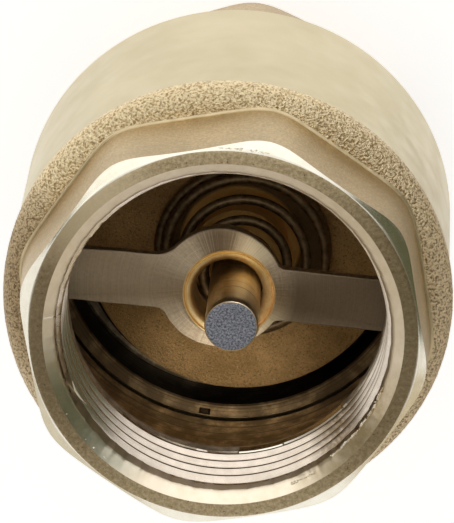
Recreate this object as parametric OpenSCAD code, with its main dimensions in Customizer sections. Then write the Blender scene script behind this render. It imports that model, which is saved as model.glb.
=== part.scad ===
// Spring non-return valve for threaded pipe, standing on its inlet end.
// Millimetres. +Z runs from the inlet to the outlet, and the origin is the centre of the inlet face.

/* [Body] */
// Diameter of the turned barrel below the rough shoulder
barrel_d = 54.2; // [53:0.2:58]
// Draft of the barrel, in degrees: it widens towards the inlet
barrel_draft = 1.6; // [0:0.1:2.5]
// Thickness of the barrel's wall round the spring chamber
barrel_wall = 2.75; // [2.3:0.05:3.2]
// Chamfer on the barrel's rim
rim_chamfer = 0.6; // [0.2:0.1:1]
// How far the rough shoulder stands out past the turned barrel
shoulder_step = 0.45; // [0.2:0.05:0.8]
// Width of the shoulder's upright rough band
shoulder_band = 0.7; // [0.4:0.1:1.2]
// Radius of the shoulder's rounded edge
shoulder_radius = 2.8; // [2.4:0.1:3.2]
// Length of the outlet octagon, from the shoulder's band to the face
outlet_octagon_l = 13.7; // [12.5:0.1:15]

/* [Pipe ends] */
// Bored wall of both pipe threads, which is their minor diameter
pipe_bore_d = 38.95; // [37:0.05:40]
// Depth of the outlet's threaded bore
outlet_bore_depth = 13.4; // [12:0.2:14]
// Pitch of the outlet's thread, 11 to the inch
thread_pitch = 2.309; // [2.1:0.001:2.5]
// Depth of that thread's grooves, which are cut as plain rings
thread_depth = 1.48; // [1.2:0.02:1.5]
// Diameter of the chamfered mouth at each face
mouth_d = 43; // [42:0.1:43.8]
// Depth of the mouth's chamfer
mouth_depth = 2.5; // [1.5:0.1:3]
// Width of the turned chamfer at the octagons' corners
corner_chamfer_w = 1.55; // [1:0.05:1.8]
// Angle of the turned chamfer behind each end face, in degrees
face_chamfer_angle = 30; // [20:1:35]
// Distance across the flats of each octagon, at its root
octagon_af = 48.7; // [48.2:0.1:49.4]
// Diameter that the octagon's corners are rounded to, at its root
octagon_corner_d = 51.2; // [50.4:0.1:52]
// Draft of the octagons, in degrees
octagon_draft = 4.2; // [0:0.2:4.6]
// Turn of the outlet octagon about the bore, in degrees
outlet_octagon_turn = 14.7; // [0:0.1:45]
// Turn of the inlet octagon about the bore, in degrees
inlet_octagon_turn = 23; // [0:0.1:45]

/* [Bridge and guide hub] */
// How far the forged bridge lies off the bore's axis, along its arms
bridge_shift_x = 0.9; // [0:0.1:1.2]
// Depth of the bridge's face below the outlet face
bridge_depth = 15.6; // [14:0.2:16.4]
// Thickness of the hub along the stem
hub_height = 6; // [5:0.2:7]
// Diameter of the hub at its face
hub_d = 15.2; // [14.4:0.2:17]
// Diameter of the hub at its back
hub_back_d = 12.4; // [11.6:0.2:13.6]
// Width of an arm at its face
arm_w = 6.6; // [6:0.1:8]
// Width of an arm at its back
arm_back_w = 3.8; // [3:0.1:5]
// Thickness of the arms along the stem
arm_height = 5; // [4:0.2:6]
// Height of the straight side below the arms' face
arm_edge_h = 1.4; // [1:0.1:2]
// Radius of the fillets between the arms and the hub
arm_fillet_r = 3.5; // [2:0.5:5]
// Diameter of the countersink in the hub
countersink_d = 10.4; // [10:0.1:11]
// Depth of the countersink
countersink_depth = 1.3; // [0.8:0.1:1.6]

/* [Poppet] */
// Diameter of the steel stem
stem_d = 6.2; // [5.8:0.1:6.4]
// Depth of the stem's end below the outlet face, when shut
stem_depth = 4; // [3:0.5:6]
// Chamfer on the stem's ends
stem_chamfer = 0.3; // [0.1:0.1:0.5]
// Clearance round the stem in the outlet guide, on the radius
guide_clearance = 0.9; // [0.85:0.05:1]
// How far the loose stem lies to one side of its guides
stem_offset = 0.8; // [0:0.05:0.8]
// Travel of the poppet from shut to fully open
lift = 8; // [7:0.25:8.5]
// Clearance between the disc's boss and the hub, when fully open
stop_clearance = 0.2; // [0.1:0.05:0.5]
// Gap between the brass disc and the connector's rim, on the radius
disc_gap = 2.4; // [2:0.1:3]
// Thickness of the brass disc
disc_t = 3; // [2.4:0.1:3.4]
// Diameter of the boss that the stem is screwed through
boss_d = 12; // [11:0.2:13]
// Height of that boss above the disc
boss_h = 5.3; // [4:0.1:6]
// Gap between the rubber disc and the connector's rim, on the radius
seal_gap = 1.4; // [1.2:0.1:2]
// Thickness of the rubber disc
seal_t = 2.6; // [2:0.1:3]
// Gap between the washer under the rubber disc and the seat's passage, on the radius
washer_gap = 4.4; // [2:0.1:6]
// Thickness of the washer
washer_t = 1.2; // [0.8:0.1:1.4]
// Distance across the flats of the nut
nut_af = 10; // [9:0.5:11]
// Height of the nut
nut_h = 4; // [3:0.1:4.4]
// Length of stem that stands out below the nut
stem_end_l = 1; // [0.6:0.1:1.4]

/* [Inlet connector] */
// Depth of the inlet's threaded bore
inlet_bore_depth = 16; // [14:0.2:16.4]
// How far the seat's passage lies inside the brass disc's edge
seat_inset = 3.1; // [2.6:0.1:3.6]
// Width of the raised seat lip
seat_lip_w = 1.4; // [1:0.1:2]
// Height of the raised seat lip
seat_lip_h = 1.2; // [1:0.1:1.6]
// Length of the inlet octagon, from the face to the collar
inlet_octagon_l = 14; // [13:0.2:16]
// Length of the connector's tube inside the barrel
tube_l = 11.5; // [10.8:0.1:12.5]
// Thickness of the tube's rim round the disc
tube_rim_w = 1.95; // [1.6:0.05:2.2]
// Depth of the thread that the tube is screwed in by, past the chamber's wall
joint_thread_h = 0.55; // [0.4:0.05:0.8]
// Clearance of that thread, on the radius
joint_clearance = 0.05; // [0.03:0.01:0.1]
// Thickness of the gasket at the collar
gasket_t = 1; // [0.8:0.1:1.4]
// How far the collar lies inside the turned barrel's diameter, on the radius
collar_inset = 0.3; // [0.1:0.05:0.5]
// Thickness of the collar
collar_t = 2.4; // [2:0.1:3]

/* [Spring] */
// Diameter of the spring wire
wire_d = 1.3; // [1:0.1:1.5]
// Mean diameter of the turn on the disc
spring_wide_d = 20.8; // [19:0.2:22]
// Mean diameter of the turn at the hub
spring_narrow_d = 8.4; // [8.2:0.1:9]
// Number of turns, with the closed turn at each end
spring_turns = 4.7; // [4:0.1:6]
// Gap between the spring and what it presses on
spring_gap = 0.1; // [0.05:0.05:0.2]

/* [Hidden] */
$fn = 96;
bite = 1;
brass = [0.80, 0.68, 0.46];
bright_brass = [0.86, 0.76, 0.56];
blasted_brass = [0.62, 0.47, 0.26];
steel = [0.62, 0.64, 0.68];
spring_steel = [0.40, 0.37, 0.32];
rubber_black = [0.06, 0.06, 0.06];
// Radii
pipe_r = pipe_bore_d / 2;
barrel_r = barrel_d / 2;
chamber_r = barrel_r - barrel_wall;
joint_r = chamber_r + joint_thread_h;
rim_bore_r = chamber_r - tube_rim_w;
disc_r = rim_bore_r - disc_gap;
seal_r = rim_bore_r - seal_gap;
seat_r = disc_r - seat_inset;
washer_r = seat_r - washer_gap;
collar_r = barrel_r - collar_inset;
stem_r = stem_d / 2;
wire_r = wire_d / 2;
// Heights above the inlet face
collar_z = inlet_octagon_l;
collar_top_z = collar_z + collar_t;
rim_z = collar_top_z + gasket_t;
inner_rim_z = rim_z + tube_l;
disc_top_z = inner_rim_z;
disc_z = disc_top_z - disc_t;
seal_z = disc_z - seal_t;
washer_z = seal_z - washer_t;
nut_z = washer_z - nut_h;
counterbore_z = seal_z - seat_lip_h;
hub_back_z = disc_top_z + boss_h + lift + stop_clearance;
bridge_z = hub_back_z + hub_height;
valve_length = bridge_z + bridge_depth;
chamber_mouth_z = valve_length - outlet_bore_depth;
shoulder_z = valve_length - outlet_octagon_l;
barrel_top_z = shoulder_z - shoulder_band;
barrel_rim_r = barrel_r + tan(barrel_draft) * (barrel_top_z - rim_z);
shoulder_r = barrel_r + shoulder_step;
chamber_cone = chamber_r - pipe_r;
seat_cone = pipe_r - seat_r;
thread_runout_l = 1.4;
thread_flank_angle = 27.5;
thread_end_l = 0.5;

// Octagonal end with its root at z = 0: a turned blank with eight drafted flats
module octagon_end(h, turn) {
    flat_r = octagon_af / 2;
    corner_r = octagon_corner_d / 2;
    chamfer_z = h - corner_chamfer_w * tan(face_chamfer_angle);
    chamfer_r = corner_r - chamfer_z * tan(octagon_draft);
    difference() {
        rotate_extrude()
            polygon([
                [0, 0],
                [corner_r, 0],
                [chamfer_r, chamfer_z],
                [chamfer_r - corner_chamfer_w, h],
                [0, h]
            ]);
        for (i = [0 : 7])
            rotate([0, 0, turn + 45 * i])
                translate([flat_r, 0, 0])
                    rotate([0, -octagon_draft, 0])
                        translate([0, -flat_r / 2, -bite])
                            cube([2 * bite + corner_r - flat_r, flat_r, h + 3 * bite]);
    }
}

// Pipe bore cut upwards from a face at z = 0, with its chamfered mouth
module pipe_bore(depth) {
    flare = bite * (mouth_d / 2 - pipe_r) / mouth_depth;
    rotate_extrude()
        polygon([
            [0, -bite],
            [mouth_d / 2 + flare, -bite],
            [pipe_r, mouth_depth],
            [pipe_r, depth],
            [0, depth]
        ]);
}

// Thread grooves of a pipe bore, as plain rings cut upwards from a face at z = 0
module thread_grooves(depth) {
    groove_w = thread_depth * tan(thread_flank_angle);
    last_groove = floor((depth - mouth_depth - groove_w - thread_end_l) / thread_pitch);
    rotate_extrude()
        for (i = [0 : last_groove])
            translate([pipe_r, mouth_depth + i * thread_pitch])
                polygon([
                    [-bite, -groove_w],
                    [0, -groove_w],
                    [thread_depth, 0],
                    [0, groove_w],
                    [-bite, groove_w]
                ]);
}

// Turned barrel under the forged shoulder that carries the outlet octagon
module barrel() {
    edge_r = shoulder_r - shoulder_radius;
    rotate_extrude($fn = 128) {
        polygon([
            [0, rim_z],
            [barrel_rim_r - rim_chamfer, rim_z],
            [barrel_rim_r, rim_z + rim_chamfer],
            [barrel_r, barrel_top_z - shoulder_step],
            [shoulder_r, barrel_top_z],
            [shoulder_r, shoulder_z],
            [edge_r, shoulder_z],
            [edge_r, shoulder_z + shoulder_radius],
            [0, shoulder_z + shoulder_radius]
        ]);
        translate([edge_r, shoulder_z])
            intersection() {
                circle(r = shoulder_radius);
                square(shoulder_radius);
            }
    }
}

// Spring chamber, its cone below the outlet bore and the thread for the connector
module chamber() {
    rotate_extrude($fn = 128)
        polygon([
            [0, rim_z - bite],
            [joint_r, rim_z - bite],
            [joint_r, inner_rim_z + thread_runout_l],
            [chamber_r, inner_rim_z + thread_runout_l],
            [chamber_r, chamber_mouth_z - chamber_cone],
            [pipe_r, chamber_mouth_z],
            [0, chamber_mouth_z]
        ]);
}

// Plan of the bridge: the hub, two arms and the fillets between them
module bridge_plan(length) {
    fillet_y = arm_w / 2 + arm_fillet_r;
    fillet_x = sqrt(pow(hub_d / 2 + arm_fillet_r, 2) - pow(fillet_y, 2));
    circle(d = hub_d);
    square([length, arm_w], center = true);
    difference() {
        for (sx = [-1, 1])
            polygon([[0, 0], [sx * fillet_x, fillet_y], [sx * fillet_x, -fillet_y]]);
        for (sx = [-1, 1], sy = [-1, 1])
            translate([sx * fillet_x, sy * fillet_y])
                circle(r = arm_fillet_r);
    }
}

// Bridge with its face at z = 0, trimmed to the chamber by the caller
module bridge(length) {
    translate([0, 0, -arm_edge_h])
        linear_extrude(arm_edge_h)
            bridge_plan(length);
    translate([-length / 2, 0, 0])
        rotate([90, 0, 90])
            linear_extrude(length)
                polygon([
                    [-arm_w / 2, -arm_edge_h],
                    [arm_w / 2, -arm_edge_h],
                    [arm_back_w / 2, -arm_height],
                    [-arm_back_w / 2, -arm_height]
                ]);
    translate([0, 0, -hub_height])
        cylinder(h = hub_height - arm_edge_h, d1 = hub_back_d, d2 = hub_d);
}

// Hole for the stem through the hub, with its countersink
module guide_bore() {
    guide_r = stem_r + guide_clearance;
    flare = bite * (countersink_d / 2 - guide_r) / countersink_depth;
    translate([0, 0, hub_back_z - bite])
        cylinder(h = hub_height + 2 * bite, r = guide_r);
    translate([0, 0, bridge_z - countersink_depth])
        cylinder(h = countersink_depth + bite, r1 = guide_r, r2 = countersink_d / 2 + flare);
}

module valve_body() {
    color(brass)
    difference() {
        union() {
            difference() {
                union() {
                    barrel();
                    translate([0, 0, shoulder_z])
                        octagon_end(outlet_octagon_l, outlet_octagon_turn);
                }
                chamber();
                translate([0, 0, valve_length])
                    mirror([0, 0, 1]) {
                        pipe_bore(outlet_bore_depth);
                        thread_grooves(outlet_bore_depth);
                    }
            }
            intersection() {
                translate([bridge_shift_x, 0, bridge_z])
                    bridge(2 * (chamber_r + bite + bridge_shift_x));
                cylinder(h = valve_length, r = chamber_r + bite, $fn = 128);
            }
        }
        guide_bore();
    }
}

module inlet_connector() {
    tube_r = joint_r - joint_clearance;
    color(brass)
    difference() {
        union() {
            translate([0, 0, collar_z])
                rotate([180, 0, 0])
                    octagon_end(inlet_octagon_l, -inlet_octagon_turn);
            translate([0, 0, collar_z])
                cylinder(h = collar_t, r = collar_r, $fn = 128);
            rotate_extrude($fn = 128)
                polygon([
                    [0, collar_top_z],
                    [tube_r, collar_top_z],
                    [tube_r, inner_rim_z - (tube_r - chamber_r)],
                    [chamber_r, inner_rim_z],
                    [0, inner_rim_z]
                ]);
        }
        pipe_bore(inlet_bore_depth);
        rotate_extrude($fn = 128)
            polygon([
                [0, inlet_bore_depth - bite],
                [pipe_r, inlet_bore_depth - bite],
                [pipe_r, inlet_bore_depth],
                [seat_r, inlet_bore_depth + seat_cone],
                [seat_r, seal_z],
                [seat_r + seat_lip_w, seal_z],
                [seat_r + seat_lip_w + seat_lip_h / 2, counterbore_z],
                [rim_bore_r, counterbore_z],
                [rim_bore_r, inner_rim_z + bite],
                [0, inner_rim_z + bite]
            ]);
    }
}

module joint_gasket() {
    color(rubber_black)
    translate([0, 0, collar_top_z])
        difference() {
            cylinder(h = gasket_t, r = collar_r, $fn = 128);
            translate([0, 0, -bite])
                cylinder(h = gasket_t + 2 * bite, r = joint_r, $fn = 128);
        }
}

// Everything on the stem lies to one side of the bore by the lean
module on_stem() {
    translate([-stem_offset, 0, 0])
        children();
}

module valve_disc() {
    color(blasted_brass)
    on_stem()
        difference() {
            union() {
                translate([0, 0, disc_z])
                    cylinder(h = disc_t, r = disc_r, $fn = 128);
                translate([0, 0, disc_top_z])
                    cylinder(h = boss_h, d = boss_d);
            }
            translate([0, 0, disc_z - bite])
                cylinder(h = disc_t + boss_h + 2 * bite, r = stem_r);
        }
}

module stem() {
    top_z = valve_length - stem_depth;
    end_z = nut_z - stem_end_l;
    color(steel)
    on_stem()
        rotate_extrude()
            polygon([
                [0, end_z],
                [stem_r - stem_chamfer, end_z],
                [stem_r, end_z + stem_chamfer],
                [stem_r, top_z - stem_chamfer],
                [stem_r - stem_chamfer, top_z],
                [0, top_z]
            ]);
}

// Flat ring on the stem
module stem_ring(z, h, r) {
    on_stem()
        translate([0, 0, z])
            difference() {
                cylinder(h = h, r = r, $fn = 128);
                translate([0, 0, -bite])
                    cylinder(h = h + 2 * bite, r = stem_r);
            }
}

module disc_seal() {
    color(rubber_black)
    stem_ring(seal_z, seal_t, seal_r);
}

module seal_washer() {
    color(bright_brass)
    stem_ring(washer_z, washer_t, washer_r);
}

module stem_nut() {
    color(steel)
    on_stem()
        translate([0, 0, nut_z])
            difference() {
                cylinder(h = nut_h, d = nut_af / cos(30), $fn = 6);
                translate([0, 0, -bite])
                    cylinder(h = nut_h + 2 * bite, r = stem_r);
            }
}

// Conical spring: one closed turn at each end and open turns between them
spring_low_z = disc_top_z + spring_gap + wire_r;
spring_high_z = hub_back_z - spring_gap - wire_r;
spring_end_turns = 0.8;
spring_segments = 30;
wire_sides = 8;
spring_rings = round(spring_turns * spring_segments);
open_turns = spring_turns - 2 * spring_end_turns;

// Share of the climb that a place along the wire has reached, from 0 to 1
function climb(turn) = min(1, max(0, (turn - spring_end_turns) / open_turns));
function spring_r(turn) =
    spring_wide_d / 2 + (spring_narrow_d - spring_wide_d) / 2 * climb(turn);
function spring_z(turn) =
    spring_low_z + (spring_high_z - spring_low_z) * climb(turn);
function wire_point(turn, side) =
    let (a = 360 * turn, b = 360 * (side + 0.5) / wire_sides)
    let (r = spring_r(turn) + wire_r * cos(b))
    [r * cos(a), r * sin(a), spring_z(turn) + wire_r * sin(b)];

module return_spring() {
    points = [for (i = [0 : spring_rings], s = [0 : wire_sides - 1])
        wire_point(spring_turns * i / spring_rings, s)];
    sides = [for (i = [0 : spring_rings - 1], s = [0 : wire_sides - 1])
        let (n = (s + 1) % wire_sides)
        let (a = i * wire_sides + s, b = i * wire_sides + n)
        [a, b, b + wire_sides, a + wire_sides]];
    ends = [
        [for (s = [wire_sides - 1 : -1 : 0]) s],
        [for (s = [0 : wire_sides - 1]) spring_rings * wire_sides + s]
    ];
    color(spring_steel)
    on_stem()
        polyhedron(points, concat(sides, ends), convexity = 8);
}

valve_body();
inlet_connector();
joint_gasket();
return_spring();
valve_disc();
stem();
disc_seal();
seal_washer();
stem_nut();
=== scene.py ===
import math
import random

import bmesh
import bpy
import numpy as np
from mathutils import Matrix, Vector, noise


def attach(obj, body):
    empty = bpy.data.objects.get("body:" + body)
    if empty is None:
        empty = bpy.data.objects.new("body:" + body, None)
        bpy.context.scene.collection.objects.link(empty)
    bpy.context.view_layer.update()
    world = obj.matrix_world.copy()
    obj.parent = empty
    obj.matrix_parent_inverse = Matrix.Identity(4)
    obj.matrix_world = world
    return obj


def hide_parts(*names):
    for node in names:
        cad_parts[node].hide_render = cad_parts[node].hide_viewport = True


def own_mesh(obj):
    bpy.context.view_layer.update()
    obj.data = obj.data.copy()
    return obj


random.seed(7)
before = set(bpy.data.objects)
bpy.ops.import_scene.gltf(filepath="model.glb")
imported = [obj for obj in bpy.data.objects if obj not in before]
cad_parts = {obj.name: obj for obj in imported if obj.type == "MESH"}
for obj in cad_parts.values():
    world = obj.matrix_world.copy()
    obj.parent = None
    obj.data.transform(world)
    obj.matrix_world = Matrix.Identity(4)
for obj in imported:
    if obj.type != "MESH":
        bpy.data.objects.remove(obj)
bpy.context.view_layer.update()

MM = 0.001
TURN = 2 * math.pi

# ---------------------------------------------------------------- sizes of the CAD part, mm
LENGTH = 64.0
RIM_Z, RIM_BEVEL = 17.4, 0.6
BARREL_R, BARREL_RIM_R = 27.1, 27.9992
BARREL_TOP_Z, SHOULDER_Z = 49.6, 50.3
SHOULDER_R, SHOULDER_ARC = 27.55, 2.8
OCT_H, OCT_TURN = 13.7, 14.7
FLAT_R, CORNER_R, DRAFT = 24.35, 25.6, math.tan(math.radians(4.2))
CHAMFER_SLOPE = 1 / math.tan(math.radians(30))
CHAMFER_W = 1.55
MOUTH_R, MOUTH_DEPTH = 21.5, 2.5
THREAD_MINOR, THREAD_MAJOR, PITCH = 19.475, 20.955, 2.309
BORE_DEPTH, INLET_BORE_DEPTH = 13.4, 16.0
CHAMBER_R, JOINT_R = 24.35, 24.9
BRIDGE_Z, HUB_BACK_Z = 48.4, 42.4
STEM_X, STEM_R = -0.8, 3.1
IN_OCT_H, IN_OCT_TURN = 14.0, 23.0
COLLAR_Z, COLLAR_TOP_Z, COLLAR_R = 14.0, 16.4, 26.8
INNER_RIM_Z, RIM_BORE_R = 28.9, 22.4
COUNTERBORE_Z, SEAL_Z, DISC_Z = 22.1, 23.3, 25.9
SEAT_R, SEAT_LIP_W, SEAT_LIP_H = 16.9, 1.4, 1.2
DISC_R, SEAL_R, WASHER_R = 20.0, 21.0, 12.5
BOSS_R, BOSS_TOP_Z = 6.0, 34.2
NUT_Z, WASHER_Z, STEM_END_Z, STEM_TOP_Z = 18.1, 22.1, 17.1, 60.0
WIRE_R, SPRING_NARROW_R = 0.65, 4.2
SPRING_LOW_Z, SPRING_HIGH_Z = 29.0, 42.3

# ---------------------------------------------------------------- sizes that only the scene has, mm
HUB_X, HUB_Y, HUB_R = 0.9, -0.55, 7.7
GUIDE_X, GUIDE_Y, GUIDE_R = -0.02, 0.25, 4.22
SINK_X, SINK_Y, SINK_R = -0.12, 0.1, 5.6
STEM_SWELL = 0.11
# The outlet's mouth is a cone in two parts: radius at the face and its fall in each mm of depth.
OUTER_CONE, INNER_CONE = (MOUTH_R, 1.19), (20.76, 0.518)

COLS = 600
THETA = np.arange(COLS) * TURN / COLS


# ---------------------------------------------------------------- mesh helpers
def noise1(values, seed, octaves=5, base=3):
    """Smooth periodic noise over angles, between about -1 and 1."""
    rng = np.random.RandomState(seed)
    total = np.zeros(len(values))
    for k in range(octaves):
        count = base * 2 ** k
        total += np.sin(values * count + rng.uniform(0, TURN)) * rng.uniform(0.5, 1) / (k + 1)
    return total / 2


def make_object(name, verts, faces, face_mats, mats, sharp=32.0, weld=0.002):
    """A mesh object in metres from points in mm, with welded doubles and outward normals."""
    mesh = bpy.data.meshes.new(name)
    mesh.from_pydata((np.asarray(verts, float) * MM).tolist(), [], faces)
    mesh.polygons.foreach_set("material_index", face_mats)
    for m in mats:
        mesh.materials.append(m)
    bm = bmesh.new()
    bm.from_mesh(mesh)
    bmesh.ops.remove_doubles(bm, verts=bm.verts, dist=weld * MM)
    bmesh.ops.dissolve_degenerate(bm, edges=bm.edges, dist=weld * MM)
    bmesh.ops.recalc_face_normals(bm, faces=bm.faces)
    bm.to_mesh(mesh)
    bm.free()
    mesh.polygons.foreach_set("use_smooth", [True] * len(mesh.polygons))
    mesh.set_sharp_from_angle(angle=math.radians(sharp))
    obj = bpy.data.objects.new(name, mesh)
    bpy.context.scene.collection.objects.link(obj)
    return obj


class Lathe:
    """Rings of points round the Z axis, joined in order, with a material for each band."""

    def __init__(self, theta=THETA, centre=(0.0, 0.0)):
        self.theta, self.centre = theta, centre
        self.cos, self.sin = np.cos(theta), np.sin(theta)
        self.points, self.faces, self.mats = [], [], []
        self.last = None

    def add_ring(self, r, z):
        n = len(self.theta)
        r, z = np.broadcast_to(r, n), np.broadcast_to(z, n)
        start = sum(len(p) for p in self.points)
        self.points.append(np.stack([self.centre[0] + r * self.cos,
                                     self.centre[1] + r * self.sin, z], 1))
        return start

    def ring(self, r, z, mat=0):
        """Adds a ring and joins it to the one before with material mat."""
        start = self.add_ring(r, z)
        if self.last is not None:
            self.join(self.last, start, mat)
        self.last = start

    def join(self, a, b, mat):
        n = len(self.theta)
        for j in range(n):
            k = (j + 1) % n
            self.faces.append((a + j, a + k, b + k, b + j))
            self.mats.append(mat)

    def path(self, points, mat, steps=1):
        """Straight bands from the last ring through the given (r, z) points."""
        for r1, z1 in points:
            n = len(self.theta)
            last = self.points[-1] - np.array([self.centre[0], self.centre[1], 0])
            r0, z0 = np.hypot(last[:, 0], last[:, 1]), last[:, 2]
            for s in range(1, steps + 1):
                t = s / steps
                self.ring(r0 + (np.broadcast_to(r1, n) - r0) * t,
                          z0 + (np.broadcast_to(z1, n) - z0) * t, mat)

    def helix(self, z_from, z_to, radius, mat, shift=0.0, per_pitch=12):
        """Rings that follow a thread from z_from to z_to; radius(theta, z, phase) gives r and band."""
        n = len(self.theta)
        lo, hi = min(z_from, z_to), max(z_from, z_to)
        count = int(math.ceil((hi - lo) / PITCH * per_pitch)) + 1
        rows, bands = [], []
        share = np.arange(n) / n
        for i in range(-per_pitch, count + 1):
            z = np.clip(lo + (i / per_pitch + share) * PITCH, lo, hi)
            r, band = radius(self.theta, z, (z - lo) / PITCH - share + shift)
            rows.append(self.add_ring(r, z))
            bands.append(band.tolist())
        for i in range(len(rows) - 1):
            a, b = rows[i], rows[i + 1]
            for j in range(n - 1):
                self.faces.append((a + j, a + j + 1, b + j + 1, b + j))
                self.mats.append(bands[i][j])
            if i + 1 + per_pitch < len(rows):
                c, d = rows[i + per_pitch], rows[i + 1 + per_pitch]
                self.faces.append((a + n - 1, c, d, b + n - 1))
                self.mats.append(mat)
        if z_from < z_to:
            start, end = rows[0], rows[-1]
        else:
            start, end = rows[-1], rows[0]
        if self.last is not None:
            self.join(self.last, start, mat)
        self.last = end

    def build(self, name, mats, sharp=32.0):
        return make_object(name, np.concatenate(self.points), self.faces, self.mats, mats, sharp)


def smooth_min(a, b, k):
    return -k * np.log(np.exp(-a / k) + np.exp(-b / k))


def octagon_radius(theta, turn, blend=0.32):
    """Radius of the octagon's blank at its root, before the draft."""
    span = math.radians(45)
    off = (theta - math.radians(turn) + span / 2) % span - span / 2
    return smooth_min(FLAT_R / np.cos(off), np.full_like(off, CORNER_R), blend)


def thread_shape(phase):
    """0 at the crest, 1 at the root, with rounded 55 degree flanks."""
    t = np.abs((phase % 1.0) - 0.5) * 2          # 0 in the middle of the root, 1 at the crest
    flank = np.clip((0.80 - t) / 0.70, 0, 1)
    return flank * flank * (3 - 2 * flank) * 0.3 + flank * 0.7


# ---------------------------------------------------------------- materials
class Tree:
    """Small helper round a material's nodes."""

    def __init__(self, name):
        self.mat = bpy.data.materials.new(name)
        self.mat.use_nodes = True
        self.nodes = self.mat.node_tree.nodes
        self.links = self.mat.node_tree.links
        self.bsdf = self.nodes["Principled BSDF"]
        self.coord = self.nodes.new("ShaderNodeTexCoord").outputs["Object"]

    def node(self, kind, **props):
        n = self.nodes.new(kind)
        for key, value in props.items():
            setattr(n, key, value)
        return n

    def link(self, a, b):
        self.links.new(a, b)

    def noise(self, per_mm, detail=3.0, rough=0.55, stretch=(1, 1, 1), vector=None, offset=0.0):
        """Noise with about per_mm features in a millimetre."""
        m = self.node("ShaderNodeMapping")
        m.inputs["Scale"].default_value = [s * 1000 * per_mm for s in stretch]
        m.inputs["Location"].default_value = (offset, offset, offset)
        self.link(vector or self.coord, m.inputs["Vector"])
        n = self.node("ShaderNodeTexNoise")
        n.inputs["Scale"].default_value = 1.0
        n.inputs["Detail"].default_value = detail
        n.inputs["Roughness"].default_value = rough
        self.link(m.outputs["Vector"], n.inputs["Vector"])
        return n.outputs["Fac"]

    def radial(self, centre=(0.0, 0.0)):
        """Vector whose first part is the distance from the Z axis, the third the height."""
        move = self.node("ShaderNodeVectorMath", operation="SUBTRACT")
        move.inputs[1].default_value = (centre[0] * MM, centre[1] * MM, 0)
        self.link(self.coord, move.inputs[0])
        sep = self.node("ShaderNodeSeparateXYZ")
        self.link(move.outputs[0], sep.inputs[0])
        flat = self.node("ShaderNodeCombineXYZ")
        self.link(sep.outputs["X"], flat.inputs["X"])
        self.link(sep.outputs["Y"], flat.inputs["Y"])
        length = self.node("ShaderNodeVectorMath", operation="LENGTH")
        self.link(flat.outputs[0], length.inputs[0])
        out = self.node("ShaderNodeCombineXYZ")
        self.link(length.outputs["Value"], out.inputs["X"])
        self.link(sep.outputs["Z"], out.inputs["Z"])
        return out.outputs[0]

    def ray(self, centre):
        """Unit vector away from the line through centre."""
        move = self.node("ShaderNodeVectorMath", operation="SUBTRACT")
        move.inputs[1].default_value = (centre[0] * MM, centre[1] * MM, 0)
        self.link(self.coord, move.inputs[0])
        flat = self.node("ShaderNodeVectorMath", operation="MULTIPLY")
        flat.inputs[1].default_value = (1, 1, 0)
        self.link(move.outputs[0], flat.inputs[0])
        unit = self.node("ShaderNodeVectorMath", operation="NORMALIZE")
        self.link(flat.outputs[0], unit.inputs[0])
        return unit.outputs[0]

    def sector(self, centre, towards, half_width):
        """1 on the side of centre that lies towards an angle in degrees, 0 past half_width."""
        dot = self.node("ShaderNodeVectorMath", operation="DOT_PRODUCT")
        a = math.radians(towards)
        dot.inputs[1].default_value = (math.cos(a), math.sin(a), 0)
        self.link(self.ray(centre), dot.inputs[0])
        return self.spread(dot.outputs["Value"], math.cos(math.radians(half_width)), 1.0)

    def reach(self, centre, low, high):
        """1 within low mm of the line through centre, 0 past high mm."""
        part = self.node("ShaderNodeSeparateXYZ")
        self.link(self.radial(centre), part.inputs[0])
        return self.spread(part.outputs["X"], high * MM, low * MM)

    def times(self, a, b):
        n = self.node("ShaderNodeMath", operation="MULTIPLY")
        for value, socket in ((a, n.inputs[0]), (b, n.inputs[1])):
            if isinstance(value, float):
                socket.default_value = value
            else:
                self.link(value, socket)
        return n.outputs[0]

    def spread(self, fac, low, high, to_low=0.0, to_high=1.0):
        n = self.node("ShaderNodeMapRange")
        n.inputs["From Min"].default_value = low
        n.inputs["From Max"].default_value = high
        n.inputs["To Min"].default_value = to_low
        n.inputs["To Max"].default_value = to_high
        self.link(fac, n.inputs["Value"])
        return n.outputs["Result"]

    def blend(self, fac, a, b):
        n = self.node("ShaderNodeMix", data_type="RGBA")
        self.link(fac, n.inputs["Factor"])
        for value, socket in ((a, n.inputs[6]), (b, n.inputs[7])):
            if isinstance(value, tuple):
                socket.default_value = (*value, 1.0)
            else:
                self.link(value, socket)
        return n.outputs[2]

    def bump(self, height, depth_mm, strength=1.0, below=None):
        n = self.node("ShaderNodeBump")
        n.inputs["Distance"].default_value = depth_mm * MM
        n.inputs["Strength"].default_value = strength
        self.link(height, n.inputs["Height"])
        if below is not None:
            self.link(below, n.inputs["Normal"])
        return n.outputs["Normal"]

    def brush(self, amount):
        """Stretches highlights as turning marks round the Z axis do."""
        self.bsdf.inputs["Anisotropic"].default_value = amount
        self.bsdf.inputs["Anisotropic Rotation"].default_value = 0.25
        tangent = self.node("ShaderNodeTangent", direction_type="RADIAL", axis="Z")
        self.link(tangent.outputs[0], self.bsdf.inputs["Tangent"])

    def finish(self, colour, rough, normal=None, metallic=1.0):
        self.bsdf.inputs["Metallic"].default_value = metallic
        for value, socket in ((colour, self.bsdf.inputs["Base Color"]),
                              (rough, self.bsdf.inputs["Roughness"])):
            if isinstance(value, tuple):
                socket.default_value = (*value, 1.0)
            elif isinstance(value, float):
                socket.default_value = value
            else:
                self.link(value, socket)
        if normal is not None:
            self.link(normal, self.bsdf.inputs["Normal"])
        return self.mat


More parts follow.
